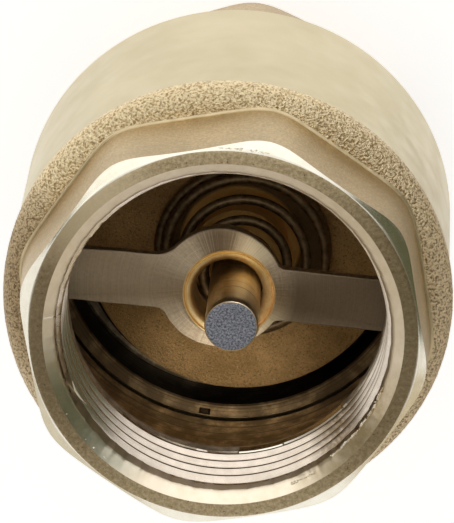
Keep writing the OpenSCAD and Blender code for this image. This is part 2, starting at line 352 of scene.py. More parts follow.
def turned_barrel():
    t = Tree("turned_barrel")
    slow = t.spread(t.noise(0.06, 3), 0.35, 0.65)
    ring = t.noise(0.5, 3, vector=t.radial(), stretch=(0.05, 1, 6))
    colour = t.blend(slow, (0.66, 0.57, 0.355), (0.745, 0.65, 0.43))
    rough = t.spread(t.noise(0.3, 4), 0.3, 0.7, 0.30, 0.42)
    return t.finish(colour, rough, t.bump(ring, 0.004, 0.5))


def cast_skin():
    t = Tree("cast_skin")
    grain = t.noise(3.3, 2, 0.55)
    coarse = t.noise(1.3, 3, 0.5, offset=3.0)
    fac = t.spread(grain, 0.35, 0.55)
    colour = t.blend(fac, (0.48, 0.33, 0.155), (1.0, 0.84, 0.55))
    # painted shade: a darker copy of the grain, laid over the shoulder's sides round 178 and 30 degrees
    shade = t.blend(fac, (0.24, 0.17, 0.09), (0.76, 0.61, 0.40))
    colour = t.blend(t.times(t.sector((0, 0), 178, 78), 0.9), colour, shade)
    colour = t.blend(t.times(t.sector((0, 0), 30, 62), 0.9), colour, shade)
    # painted shade: a still darker copy of the grain round 0 degrees
    deep_shade = t.blend(fac, (0.20, 0.14, 0.075), (0.55, 0.41, 0.24))
    colour = t.blend(t.sector((0, 0), 0, 30), colour, deep_shade)
    n = t.bump(coarse, 0.30, 0.7)
    n = t.bump(grain, 0.42, 1.0, n)
    return t.finish(colour, t.spread(grain, 0.3, 0.7, 0.42, 0.52), n)


def satin_flats():
    t = Tree("satin_flats")
    slow = t.spread(t.noise(0.12, 4), 0.35, 0.65)
    fine = t.noise(4.0, 3, 0.6)
    colour = t.blend(slow, (0.54, 0.42, 0.25), (0.68, 0.53, 0.32))
    fleck = t.spread(t.noise(2.6, 4, 0.75, offset=7.0), 0.40, 0.62)
    colour = t.blend(t.times(fleck, 0.50), colour, (0.36, 0.27, 0.155))
    glint = t.spread(t.noise(5.0, 2, 0.6, offset=4.0), 0.60, 0.70, 0.0, 0.6)
    colour = t.blend(glint, colour, (0.90, 0.74, 0.48))
    return t.finish(colour, t.spread(fine, 0.3, 0.7, 0.36, 0.48), t.bump(fine, 0.020, 0.8))


def bright_cut(name="bright_cut", a=(0.86, 0.80, 0.66), b=(0.93, 0.88, 0.75), low=0.16, high=0.26):
    t = Tree(name)
    ring = t.noise(3.0, 3, vector=t.radial())
    colour = t.blend(t.spread(t.noise(0.5, 4), 0.35, 0.65), a, b)
    return t.finish(colour, t.spread(ring, 0.3, 0.7, low, high), t.bump(ring, 0.006, 0.5))


def cut_thread():
    t = Tree("cut_thread")
    line = t.noise(3.0, 3, vector=t.radial())
    colour = t.blend(t.spread(t.noise(0.5, 4), 0.35, 0.65), (0.66, 0.57, 0.47), (0.78, 0.68, 0.57))
    # painted shade: a dark band down the threads round 140 degrees, made patchy by noise
    patchy_mask = t.times(t.sector((0, 0), 140, 14), t.spread(t.noise(1.3, 4, 0.7), 0.30, 0.55, 0.4, 1.0))
    colour = t.blend(patchy_mask, colour, (0.22, 0.16, 0.10))
    return t.finish(colour, t.spread(line, 0.3, 0.7, 0.20, 0.30), t.bump(line, 0.006, 0.5))


def mouth_cut():
    t = Tree("mouth_cut")
    line = t.noise(5.0, 3, 0.6, vector=t.radial())
    patchy_mask = t.spread(t.noise(0.7, 4, 0.6), 0.35, 0.65)
    colour = t.blend(patchy_mask, (0.92, 0.79, 0.59), (0.99, 0.87, 0.69))
    colour = t.blend(t.spread(line, 0.60, 0.68, 0.0, 0.5), colour, (0.55, 0.44, 0.30))
    patch = t.spread(t.noise(0.6, 4, 0.65, offset=2.0), 0.35, 0.60, 0.45, 1.0)
    # painted reflection: a grey-green patch on the mouth round 42 degrees
    colour = t.blend(t.times(t.sector((0, 0), 42, 26), patch), colour, (0.58, 0.58, 0.45))
    # painted shade: a darker brown patch on the mouth round 148 degrees
    colour = t.blend(t.times(t.sector((0, 0), 148, 30), patch), colour, (0.58, 0.44, 0.25))
    rough = t.spread(t.sector((0, 0), -90, 116), 0.0, 0.3, 0.30, 0.46)
    return t.finish(colour, rough, t.bump(line, 0.012, 0.7))


def turned_face():
    t = Tree("turned_face")
    ring = t.noise(4.5, 3, vector=t.radial())
    patch = t.spread(t.noise(2.0, 5, 0.78), 0.40, 0.62)
    pits = t.spread(t.noise(3.2, 2, 0.5, offset=5.0), 0.66, 0.72)
    colour = t.blend(patch, (0.44, 0.34, 0.19), (0.72, 0.585, 0.37))
    colour = t.blend(pits, colour, (0.20, 0.14, 0.07))
    # painted shade: the face darkened on two sides, round 0 and 180 degrees
    colour = t.blend(t.times(t.sector((0, 0), 0, 50), 0.5), colour, (0.26, 0.20, 0.12))
    colour = t.blend(t.times(t.sector((0, 0), 180, 60), 0.5), colour, (0.24, 0.19, 0.11))
    # painted highlight: a bright lobe on the face round -40 degrees
    colour = t.blend(t.times(t.sector((0, 0), -40, 24), 0.8), colour, (0.98, 0.83, 0.56))
    t.brush(0.85)
    n = t.bump(ring, 0.014, 0.7)
    n = t.bump(patch, 0.010, 0.5, n)
    return t.finish(colour, t.spread(ring, 0.3, 0.7, 0.36, 0.5), n)


def dull_bore(name="dull_bore", a=(0.66, 0.52, 0.33), b=(0.98, 0.82, 0.58), rough=0.50):
    t = Tree(name)
    line = t.noise(3.2, 4, 0.65, vector=t.radial())
    patch = t.spread(t.noise(0.9, 5, 0.72, stretch=(1, 1, 0.35)), 0.36, 0.64)
    stain = t.spread(t.noise(0.35, 4, 0.6, offset=9.0), 0.45, 0.62)
    colour = t.blend(patch, a, b)
    colour = t.blend(stain, tuple(0.62 * c for c in a), colour)
    colour = t.blend(t.spread(line, 0.55, 0.62), colour, tuple(0.38 * c for c in a))
    n = t.bump(line, 0.05, 0.9)
    n = t.bump(patch, 0.02, 0.6, n)
    return t.finish(colour, t.spread(line, 0.3, 0.7, rough - 0.08, rough + 0.08), n)


def bridge_top():
    t = Tree("bridge_top")
    hub = (0.9, -0.5)
    ring = t.noise(5.5, 3, 0.7, vector=t.radial(hub))
    patch = t.spread(t.noise(2.4, 5, 0.75), 0.35, 0.66)
    colour = t.blend(patch, (0.46, 0.35, 0.23), (0.66, 0.53, 0.36))
    colour = t.blend(t.spread(ring, 0.42, 0.62, 0.0, 0.5), colour, (0.82, 0.69, 0.50))
    near = t.reach(hub, 7.0, 9.5)
    far = t.spread(near, 0.0, 1.0, 1.0, 0.0)
    # painted shade: the arm darkened round 180 degrees and the hub round -82 degrees
    colour = t.blend(t.times(t.times(t.sector(hub, 180, 40), far), 0.72), colour, (0.20, 0.14, 0.09))
    colour = t.blend(t.times(t.times(t.sector(hub, -82, 30), near), 0.85), colour, (0.20, 0.14, 0.08))
    # painted highlights on the hub round -125 and 150 degrees
    colour = t.blend(t.times(t.sector(hub, -125, 26), near), colour, (1.0, 0.86, 0.60))
    colour = t.blend(t.times(t.times(t.sector(hub, 150, 30), near), 0.9), colour, (1.0, 0.84, 0.56))
    # painted light: the +X side made lighter
    colour = t.blend(t.times(t.sector(hub, 0, 60), 0.35), colour, (0.86, 0.74, 0.56))
    # painted sheen: dark and bright radial streaks round the hub
    sheen_streak = t.noise(0.034, 3, 0.75, vector=t.ray(hub))
    colour = t.blend(t.times(t.spread(sheen_streak, 0.50, 0.66, 0.0, 0.22), near), colour, (0.26, 0.19, 0.12))
    colour = t.blend(t.times(t.spread(sheen_streak, 0.50, 0.34, 0.0, 0.3), near), colour, (1.0, 0.86, 0.62))
    t.brush(0.9)
    return t.finish(colour, t.spread(ring, 0.3, 0.7, 0.42, 0.56), t.bump(ring, 0.03, 0.9))


def forged_side():
    t = Tree("forged_side")
    grain = t.noise(1.8, 4, 0.6)
    colour = t.blend(t.spread(grain, 0.35, 0.65), (0.38, 0.27, 0.15), (0.62, 0.47, 0.28))
    return t.finish(colour, 0.48, t.bump(grain, 0.12, 0.8))


def blasted_disc():
    t = Tree("blasted_disc")
    grain = t.noise(4.2, 3, 0.7)
    slow = t.spread(t.noise(0.25, 3), 0.35, 0.65)
    base = t.blend(slow, (0.66, 0.42, 0.17), (0.84, 0.56, 0.25))
    base = t.blend(t.spread(grain, 0.30, 0.46), tuple(c * 0.5 for c in (0.66, 0.42, 0.17)), base)
    base = t.blend(t.spread(grain, 0.58, 0.74), base, (1.0, 0.80, 0.46))
    away = t.radial((STEM_X, 0))
    # painted shade: a dark ring on the disc under the spring
    colour = t.blend(t.times(t.reach((-1.2, 0.5), 10.9, 11.5), 0.80), base, (0.20, 0.13, 0.06))
    # painted light: the disc's centre inside the spring made bright gold
    colour = t.blend(t.reach((STEM_X, 0), 7.5, 7.9), colour, (0.95, 0.62, 0.22))
    ring = t.noise(2.4, 2, 0.5, vector=away)
    n = t.bump(grain, 0.20, 1.0)
    n = t.bump(ring, 0.03, 0.7, n)
    return t.finish(colour, t.spread(grain, 0.3, 0.7, 0.58, 0.68), n)


def stem_side():
    t = Tree("stem_side")
    line = t.noise(2.6, 3, 0.6, vector=t.radial((STEM_X, 0)), stretch=(0.2, 1, 1.5))
    wear = t.spread(t.noise(1.2, 4, 0.7), 0.35, 0.65)
    colour = t.blend(wear, (0.40, 0.27, 0.12), (0.62, 0.45, 0.23))
    # painted highlight: a bright streak down the stem's side round -116 degrees
    colour = t.blend(t.sector((STEM_X, 0), -116, 46), colour, (1.0, 0.84, 0.58))
    colour = t.blend(t.spread(line, 0.60, 0.66, 0.0, 0.6), colour, (0.16, 0.10, 0.05))
    return t.finish(colour, t.spread(line, 0.3, 0.7, 0.26, 0.36), t.bump(line, 0.012, 0.7))


def countersink():
    t = Tree("countersink")
    line = t.noise(3.0, 3, vector=t.radial((SINK_X, SINK_Y)))
    colour = t.blend(t.spread(t.noise(0.9, 4, 0.7), 0.35, 0.65), (0.90, 0.63, 0.28), (1.0, 0.80, 0.44))
    rough = t.spread(t.sector((SINK_X, SINK_Y), 150, 75), 0.0, 0.6, 0.44, 0.82)
    return t.finish(colour, rough, t.bump(line, 0.02, 0.8))


def stem_face():
    t = Tree("stem_face")
    spot = t.noise(4.0, 4, 0.7)
    colour = t.blend(t.spread(spot, 0.38, 0.62), (0.085, 0.095, 0.125), (0.42, 0.44, 0.50))
    return t.finish(colour, 0.44, t.bump(spot, 0.04, 0.8))


def spring_wire():
    t = Tree("spring_wire")
    line = t.noise(1.4, 4, 0.6)
    colour = t.blend(t.spread(line, 0.35, 0.65), (0.19, 0.135, 0.07), (0.38, 0.27, 0.15))
    return t.finish(colour, t.spread(line, 0.3, 0.7, 0.44, 0.58), t.bump(line, 0.010, 0.6))


def rubber(name, colour=(0.012, 0.012, 0.011)):
    t = Tree(name)
    grain = t.noise(3.0, 4, 0.6)
    mix = t.blend(t.spread(grain, 0.3, 0.7), colour, tuple(c * 1.8 for c in colour))
    return t.finish(mix, t.spread(grain, 0.3, 0.7, 0.5, 0.7), t.bump(grain, 0.02, 0.6), metallic=0.0)


M_BARREL, M_CAST, M_SATIN = turned_barrel(), cast_skin(), satin_flats()
M_CHAMFER = bright_cut("bright_chamfer")
M_BURR = bright_cut("burr_metal", (0.96, 0.88, 0.72), (1.0, 0.95, 0.82), 0.42, 0.56)
M_FACE = turned_face()
M_THREAD = cut_thread()
M_BORE = dull_bore()
M_RIM = dull_bore("connector_rim", (0.31, 0.22, 0.12), (0.51, 0.375, 0.21))
# painted shade: near-black brass for the deep bores round the rim and the joint
M_PAINTED_SHADE = dull_bore("bore_painted_shade", (0.05, 0.035, 0.02), (0.09, 0.065, 0.04))
M_RUNOUT = dull_bore("thread_runout", (0.90, 0.78, 0.61), (1.0, 0.90, 0.74), 0.58)
M_MOUTH = mouth_cut()
M_EDGE = bright_cut("edge_line", (0.62, 0.50, 0.30), (0.74, 0.60, 0.38), 0.34, 0.44)
M_BRIDGE, M_SIDE, M_GOLD = bridge_top(), forged_side(), countersink()
M_DISC = blasted_disc()
M_STEM, M_STEM_END = stem_side(), stem_face()
M_SPRING = spring_wire()
M_RUBBER, M_GASKET = rubber("seal_rubber_black"), rubber("gasket_rubber_dark", (0.02, 0.02, 0.022))


# ---------------------------------------------------------------- octagonal end as rings
def octagon_rings(lathe, base_z, height, turn, out, mats, foot):
    """Rings up an octagonal end. out is +1 when it points up and -1 when it points down.

    foot is the height above the root where the side starts; mats are side, chamfer and face."""
    root = octagon_radius(lathe.theta, turn)
    face_r = CORNER_R - (height - CHAMFER_W / CHAMFER_SLOPE) * DRAFT - CHAMFER_W
    edge = (face_r + CHAMFER_SLOPE * height - root) / (CHAMFER_SLOPE - DRAFT)
    for s in range(1, 9):
        h = foot + (edge - foot) * s / 8
        lathe.ring(root - h * DRAFT, base_z + out * h, mats[0])
    side = root - edge * DRAFT
    for s in range(1, 4):
        t = s / 3
        lathe.ring(side + (face_r - side) * t, base_z + out * (edge + (height - edge) * t), mats[1])
    lathe.path([(MOUTH_R, base_z + out * height)], mats[2], 3)


# ---------------------------------------------------------------- valve body shell
def body_shell():
    mats = [M_BARREL, M_CAST, M_SATIN, M_CHAMFER, M_FACE, M_THREAD, M_BORE, M_MOUTH, M_EDGE, M_PAINTED_SHADE,
            M_RUNOUT]
    barrel, cast, satin, chamfer, face, thread, bore, mouth, edge, dark, runout = range(11)
    la = Lathe()
    la.ring(JOINT_R, RIM_Z)
    la.path([(BARREL_RIM_R - RIM_BEVEL, RIM_Z)], barrel, 2)
    la.path([(BARREL_RIM_R, RIM_Z + RIM_BEVEL)], barrel, 2)
    la.path([(BARREL_R, BARREL_TOP_Z - 0.45)], barrel, 8)
    la.path([(SHOULDER_R, BARREL_TOP_Z)], cast, 2)
    la.path([(SHOULDER_R, SHOULDER_Z)], cast, 3)
    root = octagon_radius(la.theta, OCT_TURN)
    arc_x = SHOULDER_R - SHOULDER_ARC
    side = root - SHOULDER_ARC * DRAFT
    fillet = 0.35
    stop = np.arccos(np.clip((side + fillet - arc_x) / SHOULDER_ARC, 0, 1))
    for s in range(1, 21):
        a = stop * s / 20
        la.ring(arc_x + SHOULDER_ARC * np.cos(a), SHOULDER_Z + SHOULDER_ARC * np.sin(a), cast)
    end_z = SHOULDER_Z + SHOULDER_ARC * np.sin(stop)
    la.path([(side + fillet, end_z)], cast, 2)
    for a in (30, 60, 90):
        c, s = math.cos(math.radians(a)), math.sin(math.radians(a))
        la.ring(side + fillet * (1 - s), end_z + fillet * (1 - c), edge)
    octagon_rings(la, SHOULDER_Z, OCT_H, OCT_TURN, 1, (satin, chamfer, face),
                  end_z + fillet - SHOULDER_Z)
    low = LENGTH - BORE_DEPTH
    ragged = (np.clip(noise1(la.theta, 23, 5, 41), -1, 1) * 0.06
              + np.clip(noise1(la.theta, 31, 4, 97), 0, 1) * 0.07)

    def radius(theta, z, phase):
        depth = (THREAD_MAJOR - THREAD_MINOR) * thread_shape(phase)
        depth = depth * np.clip((z - low - 1.5) / 0.5, 0, 1) * np.clip((LENGTH - z - 1.0) / 1.0, 0, 1)
        cone = np.maximum(OUTER_CONE[0] - OUTER_CONE[1] * (LENGTH - z),
                          INNER_CONE[0] - INNER_CONE[1] * (LENGTH - z))
        cone = cone + ragged * np.clip((LENGTH - z) / 1.5, 0, 1)
        turn = np.degrees(theta)
        strip = (turn > 99.5) & (turn < 142) & (z > low + 0.25) & (z < low + 1.9)
        r = np.where(strip, THREAD_MINOR - 0.05, np.maximum(THREAD_MINOR + depth, cone))
        band = np.where(cone >= THREAD_MINOR + depth, mouth, thread)
        band = np.where((z < low + 1.5) & ~strip, runout, band)
        return r, np.where(strip, chamfer, band)

    la.helix(LENGTH, low, radius, thread, 0.25)
    la.path([(CHAMBER_R, low - (CHAMBER_R - THREAD_MINOR))], bore, 3)
    la.path([(CHAMBER_R, INNER_RIM_Z + 3.3), (CHAMBER_R + 0.12, INNER_RIM_Z + 3.15),
             (CHAMBER_R + 0.12, INNER_RIM_Z + 0.6)], bore, 2)
    # painted shade on the joint bore
    la.path([(JOINT_R, INNER_RIM_Z + 0.6)], dark, 1)
    la.path([(JOINT_R, RIM_Z)], dark, 2)
    return la, mats


def roughen(obj, low_z, high_z, amount, scale, seed):
    """Pushes the cast skin in and out along its normals, clear of the octagon's fillet."""
    mesh = obj.data
    count = len(mesh.vertices)
    co, normal = np.zeros(count * 3), np.zeros(count * 3)
    mesh.vertices.foreach_get("co", co)
    mesh.vertices.foreach_get("normal", normal)
    co, normal = co.reshape(-1, 3) / MM, normal.reshape(-1, 3)
    r = np.hypot(co[:, 0], co[:, 1])
    root = octagon_radius(np.arctan2(co[:, 1], co[:, 0]), OCT_TURN)
    clear = r > root - SHOULDER_ARC * DRAFT + 0.3
    for i in np.nonzero((co[:, 2] > low_z) & (co[:, 2] < high_z) & clear)[0]:
        p = Vector(co[i]) * scale + Vector((seed, 0, 0))
        edge = min(1.0, (co[i, 2] - low_z) / 0.3, (high_z - co[i, 2]) / 0.3)
        co[i] += normal[i] * (noise.noise(p) + 0.5 * noise.noise(p * 2.1)) * amount * edge
    mesh.vertices.foreach_set("co", (co * MM).ravel())
    mesh.update()


lathe, shell_mats = body_shell()
# The joint bore's last band is already closed by the first ring at the same place.
shell = lathe.build("body_shell", shell_mats)
roughen(shell, 49.7, 53.5, 0.055, 2.4, 3.0)
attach(shell, "housing")
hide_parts("valve_body")


# Rows of burrs: from and to angle, how many, radius, height and size in mm.
BURRS = ((-98, -84, 22, 23.42, 63.90, 0.26), (24, 60, 26, 21.38, 63.72, 0.27), (62, 120, 8, 21.40, 63.80, 0.16),
         (135, 166, 74, 20.15, 62.95, 0.26), (118, 128, 24, 20.6, 63.35, 0.24),
         (150, 200, 14, 21.38, 63.78, 0.18), (-160, -110, 14, 21.42, 63.80, 0.17))


def burrs():
    """Small closed chips and a curl of swarf left by the cutter at the mouth."""
    verts, faces = [], []
    for start, end, count, r0, z0, size in BURRS:
        for _ in range(count):
            a = math.radians(random.uniform(start, end))
            out = Vector((math.cos(a), math.sin(a), 0))
            along = Vector((-out.y, out.x, 0))
            tall = size * random.uniform(0.3, 0.55)
            z = min(z0 + random.uniform(-0.1, 0.08), LENGTH - 0.01 - tall)
            c = out * (r0 + random.uniform(-0.15, 0.1)) + Vector((0, 0, z))
            axes = (along * size * random.uniform(0.5, 1.7), out * size * random.uniform(0.3, 0.7),
                    Vector((0, 0, tall)))
            base = len(verts)
            for axis in axes:
                verts += [c + axis, c - axis * random.uniform(0.6, 1)]
            for i, j, k in ((0, 2, 4), (2, 1, 4), (1, 3, 4), (3, 0, 4),
                            (2, 0, 5), (1, 2, 5), (3, 1, 5), (0, 3, 5)):
                faces.append((base + i, base + j, base + k))
    base, steps, sides = len(verts), 18, 6
    for i in range(steps + 1):                       # one long curl of swarf on the first crest
        share = i / steps
        a = math.radians(25 + 11 * share)
        out = Vector((math.cos(a), math.sin(a), 0))
        c = out * (19.32 + 0.18 * math.sin(3.1 * share)) + Vector((0, 0, 62.1 - 1.0 * share))
        thick = 0.03 + 0.13 * math.sin(math.pi * share)
        for k in range(sides):
            b = TURN * k / sides
            verts.append(c + out * thick * math.cos(b) + Vector((0, 0, thick * math.sin(b))))
    for i in range(steps):
        for k in range(sides):
            m, at = (k + 1) % sides, base + i * sides
            faces.append((at + k, at + m, at + sides + m, at + sides + k))
    faces.append(tuple(base + k for k in range(sides)))
    faces.append(tuple(base + steps * sides + k for k in range(sides)))
    return make_object("edge_burrs", [tuple(v) for v in verts], faces, [0] * len(faces), [M_BURR], weld=0.0001)


chips = burrs()
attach(chips, "housing")
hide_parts("valve_body")


# ---------------------------------------------------------------- bridge with its guide hub
def hub_corner(side_x, line_y, sign_y, fillet):
    """Points from an arm's straight edge at line_y round the fillet on to the hub."""
    fy = line_y + sign_y * fillet
    fx = HUB_X + side_x * math.sqrt((HUB_R + fillet) ** 2 - (fy - HUB_Y) ** 2)
    start = math.atan2(line_y - fy, 0.0)
    end = math.atan2(HUB_Y - fy, HUB_X - fx)
    turn = (end - start + math.pi) % TURN - math.pi
    return [(fx + fillet * math.cos(start + turn * k / 8),
             fy + fillet * math.sin(start + turn * k / 8)) for k in range(9)]


def bridge_outline():
    """The forged outline seen along the axis, counter-clockwise from the +X arm's far end."""
    reach = CHAMBER_R + 0.25
    right_top = hub_corner(1, 2.8, 1, 1.6)
    left_top = hub_corner(-1, 2.95, 1, 1.0)
    left_low = hub_corner(-1, -3.7, -1, 1.0)
    right_low = hub_corner(1, -4.1, -1, 3.2)

    def straight(a, b, n):
        return [(a[0] + (b[0] - a[0]) * k / n, a[1] + (b[1] - a[1]) * k / n) for k in range(n)]

    def around(a, b, n):
        t0 = math.atan2(a[1] - HUB_Y, a[0] - HUB_X)
        t1 = math.atan2(b[1] - HUB_Y, b[0] - HUB_X)
        t1 = t0 + (t1 - t0) % TURN
        return [(HUB_X + HUB_R * math.cos(t0 + (t1 - t0) * k / n),
                 HUB_Y + HUB_R * math.sin(t0 + (t1 - t0) * k / n)) for k in range(1, n)]

    pts = straight((reach, -3.85), (reach, 2.75), 10)
    pts += straight((reach, 2.75), right_top[0], 60) + right_top
    pts += around(right_top[-1], left_top[-1], 50)
    pts += left_top[::-1] + straight(left_top[0], (-reach, 3.05), 60)[1:]
    pts += straight((-reach, 3.05), (-reach, -3.6), 10)
    pts += straight((-reach, -3.6), left_low[0], 60) + left_low
    pts += around(left_low[-1], right_low[-1], 50)
    pts += right_low[::-1] + straight(right_low[0], (reach, -3.85), 60)[1:]
    return np.array(pts)


def bridge():
    top, side, gold = range(3)
    outline = bridge_outline()
    n = len(outline)
    t = np.arange(n) / n * TURN
    ahead, behind = np.roll(outline, -1, 0), np.roll(outline, 1, 0)
    tangent = ahead - behind
    tangent /= np.linalg.norm(tangent, axis=1)[:, None]
    normal = np.stack([tangent[:, 1], -tangent[:, 0]], 1)
    wobble = (noise1(t, 5, 7, 9) * 0.05)[:, None]
    outline = outline + normal * wobble
    angle = np.arctan2(outline[:, 1] - SINK_Y, outline[:, 0] - SINK_X)
    spoke = np.stack([np.cos(angle), np.sin(angle)], 1)
    centre = np.array([SINK_X, SINK_Y])
    hub_dist = np.hypot(outline[:, 0] - HUB_X, outline[:, 1] - HUB_Y)
    arm = np.clip((hub_dist - HUB_R) / 2.0, 0, 1)
    rings, bands = [], []

    def add(xy, z, band):
        rings.append(np.concatenate([xy, np.broadcast_to(z, n)[:, None]], 1))
        bands.append(band)

    guide_centre = np.array([GUIDE_X, GUIDE_Y])
    add(guide_centre + spoke * GUIDE_R, HUB_BACK_Z, side)
    add(guide_centre + spoke * GUIDE_R, BRIDGE_Z - 2.3, gold)
    for k in range(1, 10):
        a = math.radians(90 * k / 9)
        out = 1 - math.cos(a)
        c = guide_centre + (centre - guide_centre) * out
        add(c + spoke * (GUIDE_R + (SINK_R - 0.35 - GUIDE_R) * out),
            BRIDGE_Z - 1.55 + 1.30 * math.sin(a), gold)
    add(centre + spoke * (SINK_R - 0.28), BRIDGE_Z - 0.42, gold)
    add(centre + spoke * (SINK_R - 0.12), BRIDGE_Z - 0.36, gold)
    add(centre + spoke * SINK_R, BRIDGE_Z - 0.06, gold)
    add(centre + spoke * (SINK_R + 0.12), BRIDGE_Z, gold)
    inner = centre + spoke * (SINK_R + 0.12)
    edge = outline - normal * 0.12
    for k in (0.15, 0.35, 0.6, 0.85, 1.0):
        add(inner + (edge - inner) * k, BRIDGE_Z, top)
    burr = (noise1(t, 11, 6, 13) * 0.04)
    add(outline, BRIDGE_Z - 0.12 + burr * 0.5, top)
    add(outline + normal * 0.05, BRIDGE_Z - 0.7, side)
    add(outline, BRIDGE_Z - 1.4, side)
    inset = 1.4
    back_z = HUB_BACK_Z + 1.0 * arm
    add(outline - normal * (inset * 0.25), BRIDGE_Z - 2.4, side)
    add(outline - normal * (inset * 0.85), back_z + 0.5, side)
    add(outline - normal * inset, back_z, side)
    verts = np.concatenate(rings)
    faces, mats = [], []
    m = len(rings)
    for i in range(m):
        a, b = i * n, ((i + 1) % m) * n
        for j in range(n):
            k = (j + 1) % n
            faces.append((a + j, a + k, b + k, b + j))
            mats.append(bands[(i + 1) % m] if i + 1 < m else side)
    return make_object("guide_bridge", verts, faces, mats, [M_BRIDGE, M_SIDE, M_GOLD])


guide = bridge()
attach(guide, "housing")
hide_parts("valve_body")


# ---------------------------------------------------------------- inlet connector
def connector():
    mats = [M_SATIN, M_CHAMFER, M_FACE, M_THREAD, M_BARREL, M_RIM, M_BORE, M_MOUTH, M_PAINTED_SHADE]
    satin, chamfer, face, thread, turned, rim, bore, mouth, dark = range(9)
    la = Lathe()
    la.ring(COLLAR_R - 0.4, COLLAR_Z)
    root = octagon_radius(la.theta, IN_OCT_TURN)
    la.path([(root + 0.3, COLLAR_Z)], turned, 2)
    la.ring(root, COLLAR_Z - 0.3, satin)
    octagon_rings(la, COLLAR_Z, IN_OCT_H, IN_OCT_TURN, -1, (satin, satin, face), 0.3)

    def radius(theta, z, phase):
        depth = (THREAD_MAJOR - THREAD_MINOR) * thread_shape(phase)
        depth = depth * np.clip((INLET_BORE_DEPTH - z - 0.5) / 1.2, 0, 1)
        cone = MOUTH_R - z * (MOUTH_R - THREAD_MINOR) / MOUTH_DEPTH
        return (np.maximum(THREAD_MINOR + depth, cone),
                np.where(cone >= THREAD_MINOR + depth, mouth, thread))

    la.helix(0.0, INLET_BORE_DEPTH, radius, thread)
    la.path([(SEAT_R, INLET_BORE_DEPTH + THREAD_MINOR - SEAT_R)], bore, 3)
    lip = SEAT_R + SEAT_LIP_W
    la.path([(SEAT_R, SEAL_Z - 0.2), (SEAT_R + 0.2, SEAL_Z), (lip - 0.2, SEAL_Z),
             (lip, SEAL_Z - 0.2), (lip + SEAT_LIP_H / 2, COUNTERBORE_Z)], bore, 2)
    la.path([(RIM_BORE_R - 0.3, COUNTERBORE_Z), (RIM_BORE_R, COUNTERBORE_Z + 0.3)], bore, 2)
    # painted shade on the rim's bore
    la.path([(RIM_BORE_R, INNER_RIM_Z - 0.25)], dark, 3)
    la.path([(RIM_BORE_R + 0.2, INNER_RIM_Z)], rim, 2)
    notch = np.where(np.abs(np.degrees(la.theta) - 85.8) < 1.3, 0.5, 0.0)
    la.path([(23.2, INNER_RIM_Z)], rim, 2)
    la.ring(23.26, INNER_RIM_Z - notch, rim)
    la.ring(24.02, INNER_RIM_Z - notch, rim)
    # the notch's floor gets the painted shade too
    for j in np.nonzero(notch)[0]:
        la.mats[j - COLS] = dark
    la.ring(24.08, INNER_RIM_Z, rim)
    la.path([(CHAMBER_R - 0.15, INNER_RIM_Z)], rim, 1)
    la.path([(CHAMBER_R + 0.15, INNER_RIM_Z - 0.2), (JOINT_R - 0.05, INNER_RIM_Z - 0.6),
             (JOINT_R - 0.05, COLLAR_TOP_Z), (COLLAR_R - 0.4, COLLAR_TOP_Z)], turned, 2)
    la.path([(COLLAR_R, COLLAR_TOP_Z - 0.4), (COLLAR_R, COLLAR_Z + 0.4),
             (COLLAR_R - 0.4, COLLAR_Z)], turned, 2)
    return la.build("inlet_end", mats)


inlet = connector()
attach(inlet, "housing")
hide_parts("inlet_connector")


# ---------------------------------------------------------------- smaller round pieces
ROUND = np.arange(192) * TURN / 192


def ring_piece(name, outline, mats, bands, body, node, centre=(0.0, 0.0), steps=1):
    """A closed ring or a disc with a hole from (r, z) points, with a band material each."""
    la = Lathe(ROUND, centre)
    la.ring(*outline[0])
    for point, band in zip(outline[1:], bands):
        la.path([point], band, steps)
    la.path([outline[0]], bands[-1], steps)
    obj = la.build(name, mats)
    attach(obj, body)
    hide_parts(node)
    return obj


def rounded(r0, r1, z0, z1, e):
    """Outline of a ring's section with its four edges broken by e."""
    return [(r0, z0 + e), (r0, z1 - e), (r0 + e, z1), (r1 - e, z1),
            (r1, z1 - e), (r1, z0 + e), (r1 - e, z0), (r0 + e, z0)]


ring_piece("body_gasket", rounded(JOINT_R, COLLAR_R, COLLAR_TOP_Z, RIM_Z, 0.12),
           [M_GASKET], [0] * 8, "housing", "joint_gasket")
ring_piece("seal_ring", rounded(STEM_R, SEAL_R, SEAL_Z, DISC_Z, 0.3),
           [M_RUBBER], [0] * 8, "poppet", "disc_seal", (STEM_X, 0))
ring_piece("clamp_washer", rounded(STEM_R, WASHER_R, WASHER_Z, SEAL_Z, 0.2),
           [M_THREAD], [0] * 8, "poppet", "seal_washer", (STEM_X, 0))

disc_outline = [(STEM_R, DISC_Z), (STEM_R, BOSS_TOP_Z), (BOSS_R - 0.6, BOSS_TOP_Z),
                (BOSS_R, BOSS_TOP_Z - 0.6), (BOSS_R, INNER_RIM_Z + 0.8),
                (BOSS_R + 0.25, INNER_RIM_Z + 0.25), (BOSS_R + 0.8, INNER_RIM_Z),
                (DISC_R - 0.35, INNER_RIM_Z), (DISC_R - 0.1, INNER_RIM_Z - 0.1),
                (DISC_R, INNER_RIM_Z - 0.35), (DISC_R, DISC_Z)]
ring_piece("poppet_disc", disc_outline, [M_DISC], [0] * 11, "poppet", "valve_disc",
           (STEM_X, 0), 4)

